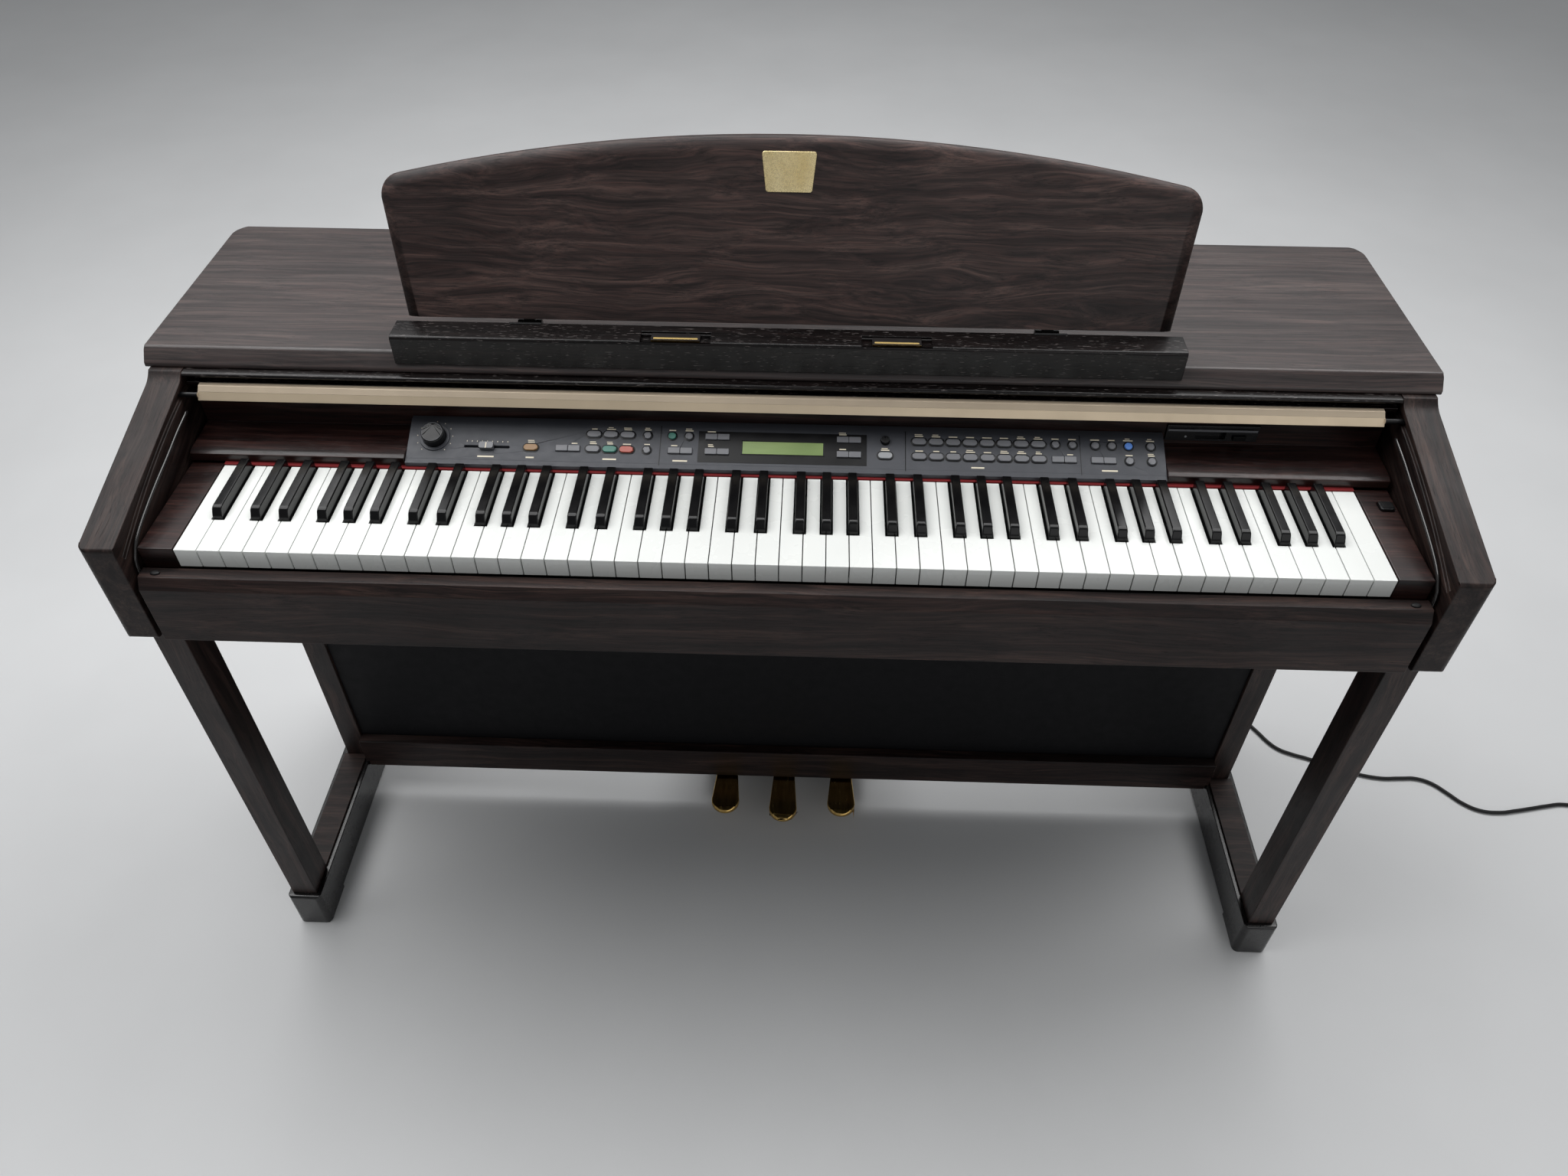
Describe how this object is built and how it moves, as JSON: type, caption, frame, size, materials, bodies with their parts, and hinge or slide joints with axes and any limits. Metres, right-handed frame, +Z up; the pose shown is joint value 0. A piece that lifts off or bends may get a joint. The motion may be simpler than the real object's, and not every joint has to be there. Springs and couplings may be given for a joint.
{
  "type": "digital piano on stand",
  "caption": "Console digital piano on a legged stand with weighted-style keys, sliding cover, control panel, music desk and pedals.",
  "frame": {"origin": "on the floor, midway across the piano and midway front to back", "axes": "+X to the player's right, -Y towards the player, +Z up"},
  "size_m": [2.052, 0.518, 1.0247],
  "materials": {
    "dark_rosewood": "satin dark rosewood veneer",
    "board_wood": "satin dark rosewood veneer",
    "gloss_wood": "semi-gloss very dark rosewood",
    "black_foot": "gloss black",
    "panel_black": "matt black",
    "panel_grey": "fine matt slate grey",
    "cap_grey": "satin grey",
    "knob_black": "satin black",
    "key_white": "smooth white",
    "key_black": "satin black",
    "felt_red": "red felt",
    "brass": "polished brass",
    "champagne": "brushed champagne anodised",
    "hinge_brass": "satin brass",
    "display": "green display under clear glass",
    "frame_steel": "grey painted steel",
    "cord_black": "matt black cord"
  },
  "bodies": {
    "case": {"foot_left": "black_foot", "foot_right": "black_foot", "front_leg_left": "dark_rosewood", "front_leg_right": "dark_rosewood", "side_board_left": "dark_rosewood", "side_board_right": "dark_rosewood", "back_panel": "panel_black", "lower_rail": "dark_rosewood", "pedal_box": "panel_black", "key_bed": "panel_black", "key_slip": "dark_rosewood", "side_arm_left": "dark_rosewood", "side_arm_right": "dark_rosewood", "top_board": "board_wood", "case_back": "panel_black", "cheek_block_left": "dark_rosewood", "cheek_block_right": "dark_rosewood", "name_board": "gloss_wood", "control_panel": "panel_grey", "cover_trim": "gloss_wood", "media_drive": "knob_black", "display_window": "display", "music_ledge": "gloss_wood", "desk_hinges": "hinge_brass", "keyboard_frame": "frame_steel", "felt_strip": "felt_red", "power_inlet": "cord_black", "power_cord": "cord_black", "cord_coil": "cord_black", "cord_plug": "cord_black"},
    "pedal_left": {"pedal_left": "brass"},
    "pedal_middle": {"pedal_middle": "brass"},
    "pedal_right": {"pedal_right": "brass"},
    "eject_key": {"eject_key": "knob_black"},
    "volume_knob": {"volume_knob": "knob_black"},
    "contrast_knob": {"contrast_knob": "knob_black"},
    "balance_slider": {"balance_slider": "cap_grey"},
    "power_switch": {"power_switch": "knob_black"},
    "song_buttons": {"song_buttons": "cap_grey"},
    "tempo_buttons": {"tempo_buttons": "cap_grey"},
    "menu_buttons": {"menu_buttons": "cap_grey"},
    "voice_buttons": {"voice_buttons": "cap_grey"},
    "effect_buttons": {"effect_buttons": "cap_grey"},
    "music_desk": {"music_desk": "gloss_wood"},
    "page_clip_left": {"page_clip_left": "brass"},
    "page_clip_right": {"page_clip_right": "brass"},
    "key_cover": {"key_cover": "gloss_wood", "cover_strip": "champagne"},
    "keys_c": {"keys_c": "key_white"},
    "keys_d": {"keys_d": "key_white"},
    "keys_e": {"keys_e": "key_white"},
    "keys_f": {"keys_f": "key_white"},
    "keys_g": {"keys_g": "key_white"},
    "keys_a": {"keys_a": "key_white"},
    "keys_b": {"keys_b": "key_white"},
    "keys_c_sharp": {"keys_c_sharp": "key_black"},
    "keys_d_sharp": {"keys_d_sharp": "key_black"},
    "keys_f_sharp": {"keys_f_sharp": "key_black"},
    "keys_g_sharp": {"keys_g_sharp": "key_black"},
    "keys_a_sharp": {"keys_a_sharp": "key_black"}
  },
  "joints": [
    {"name": "pedal_left_press", "type": "hinge", "parent": "case", "child": "pedal_left", "pos_m": [0, 0.086, 0.051], "axis": [1, 0, 0], "range_deg": [0, 4], "stiffness_Nm_per_rad": 9, "springref_deg": -8.59},
    {"name": "pedal_middle_press", "type": "hinge", "parent": "case", "child": "pedal_middle", "pos_m": [0, 0.086, 0.051], "axis": [1, 0, 0], "range_deg": [0, 4], "stiffness_Nm_per_rad": 9, "springref_deg": -8.59},
    {"name": "pedal_right_press", "type": "hinge", "parent": "case", "child": "pedal_right", "pos_m": [0, 0.086, 0.051], "axis": [1, 0, 0], "range_deg": [0, 4], "stiffness_Nm_per_rad": 9, "springref_deg": -8.59},
    {"name": "keys_c_press", "type": "hinge", "parent": "case", "child": "keys_c", "pos_m": [0, -0.019, 0.7005], "axis": [1, 0, 0], "range_deg": [0, 2.5], "stiffness_Nm_per_rad": 14, "springref_deg": -8.59},
    {"name": "keys_d_press", "type": "hinge", "parent": "case", "child": "keys_d", "pos_m": [0, -0.019, 0.7005], "axis": [1, 0, 0], "range_deg": [0, 2.5], "stiffness_Nm_per_rad": 14, "springref_deg": -8.59},
    {"name": "keys_e_press", "type": "hinge", "parent": "case", "child": "keys_e", "pos_m": [0, -0.019, 0.7005], "axis": [1, 0, 0], "range_deg": [0, 2.5], "stiffness_Nm_per_rad": 14, "springref_deg": -8.59},
    {"name": "keys_f_press", "type": "hinge", "parent": "case", "child": "keys_f", "pos_m": [0, -0.019, 0.7005], "axis": [1, 0, 0], "range_deg": [0, 2.5], "stiffness_Nm_per_rad": 14, "springref_deg": -8.59},
    {"name": "keys_g_press", "type": "hinge", "parent": "case", "child": "keys_g", "pos_m": [0, -0.019, 0.7005], "axis": [1, 0, 0], "range_deg": [0, 2.5], "stiffness_Nm_per_rad": 14, "springref_deg": -8.59},
    {"name": "keys_a_press", "type": "hinge", "parent": "case", "child": "keys_a", "pos_m": [0, -0.019, 0.7005], "axis": [1, 0, 0], "range_deg": [0, 2.5], "stiffness_Nm_per_rad": 14, "springref_deg": -8.59},
    {"name": "keys_b_press", "type": "hinge", "parent": "case", "child": "keys_b", "pos_m": [0, -0.019, 0.7005], "axis": [1, 0, 0], "range_deg": [0, 2.5], "stiffness_Nm_per_rad": 14, "springref_deg": -8.59},
    {"name": "keys_c_sharp_press", "type": "hinge", "parent": "case", "child": "keys_c_sharp", "pos_m": [0, -0.019, 0.7005], "axis": [1, 0, 0], "range_deg": [0, 2.5], "stiffness_Nm_per_rad": 8, "springref_deg": -8.59},
    {"name": "keys_d_sharp_press", "type": "hinge", "parent": "case", "child": "keys_d_sharp", "pos_m": [0, -0.019, 0.7005], "axis": [1, 0, 0], "range_deg": [0, 2.5], "stiffness_Nm_per_rad": 8, "springref_deg": -8.59},
    {"name": "keys_f_sharp_press", "type": "hinge", "parent": "case", "child": "keys_f_sharp", "pos_m": [0, -0.019, 0.7005], "axis": [1, 0, 0], "range_deg": [0, 2.5], "stiffness_Nm_per_rad": 8, "springref_deg": -8.59},
    {"name": "keys_g_sharp_press", "type": "hinge", "parent": "case", "child": "keys_g_sharp", "pos_m": [0, -0.019, 0.7005], "axis": [1, 0, 0], "range_deg": [0, 2.5], "stiffness_Nm_per_rad": 8, "springref_deg": -8.59},
    {"name": "keys_a_sharp_press", "type": "hinge", "parent": "case", "child": "keys_a_sharp", "pos_m": [0, -0.019, 0.7005], "axis": [1, 0, 0], "range_deg": [0, 2.5], "stiffness_Nm_per_rad": 8, "springref_deg": -8.59},
    {"name": "song_buttons_press", "type": "slide", "parent": "case", "child": "song_buttons", "axis": [0, 0.4179, -0.9085], "range_m": [0, 0.001], "stiffness_N_per_m": 400, "springref_m": -0.003},
    {"name": "tempo_buttons_press", "type": "slide", "parent": "case", "child": "tempo_buttons", "axis": [0, 0.4179, -0.9085], "range_m": [0, 0.001], "stiffness_N_per_m": 400, "springref_m": -0.003},
    {"name": "menu_buttons_press", "type": "slide", "parent": "case", "child": "menu_buttons", "axis": [0, 0.4179, -0.9085], "range_m": [0, 0.001], "stiffness_N_per_m": 400, "springref_m": -0.003},
    {"name": "voice_buttons_press", "type": "slide", "parent": "case", "child": "voice_buttons", "axis": [0, 0.4179, -0.9085], "range_m": [0, 0.001], "stiffness_N_per_m": 400, "springref_m": -0.003},
    {"name": "effect_buttons_press", "type": "slide", "parent": "case", "child": "effect_buttons", "axis": [0, 0.4179, -0.9085], "range_m": [0, 0.001], "stiffness_N_per_m": 400, "springref_m": -0.003},
    {"name": "power_switch_press", "type": "slide", "parent": "case", "child": "power_switch", "axis": [0, 0, -1], "range_m": [0, 0.002], "stiffness_N_per_m": 300, "springref_m": -0.003},
    {"name": "eject_key_press", "type": "slide", "parent": "case", "child": "eject_key", "axis": [0, 1, 0], "range_m": [0, 0.003], "stiffness_N_per_m": 200, "springref_m": -0.003},
    {"name": "volume_knob_turn", "type": "hinge", "parent": "case", "child": "volume_knob", "pos_m": [-0.384, -0.06343, 0.73997], "axis": [0, -0.4179, 0.9085], "range_deg": [-150, 150]},
    {"name": "contrast_knob_turn", "type": "hinge", "parent": "case", "child": "contrast_knob", "pos_m": [0.11, -0.05616, 0.74331], "axis": [0, -0.4179, 0.9085], "range_deg": [-150, 150]},
    {"name": "balance_slide", "type": "slide", "parent": "case", "child": "balance_slider", "axis": [1, 0, 0], "range_m": [-0.018, 0.018]},
    {"name": "key_cover_slide", "type": "hinge", "parent": "case", "child": "key_cover", "pos_m": [0, 0.0863, -0.0205], "axis": [1, 0, 0], "range_deg": [0, 14]},
    {"name": "music_desk_fold", "type": "hinge", "parent": "case", "child": "music_desk", "pos_m": [0, 0.02348, 0.83293], "axis": [-1, 0, 0], "range_deg": [0, 70]},
    {"name": "page_clip_left_flip", "type": "hinge", "parent": "case", "child": "page_clip_left", "pos_m": [-0.117, -0.011, 0.8432], "axis": [-1, 0, 0], "range_deg": [0, 90]},
    {"name": "page_clip_right_flip", "type": "hinge", "parent": "case", "child": "page_clip_right", "pos_m": [0.117, -0.011, 0.8432], "axis": [-1, 0, 0], "range_deg": [0, 90]}
  ]
}
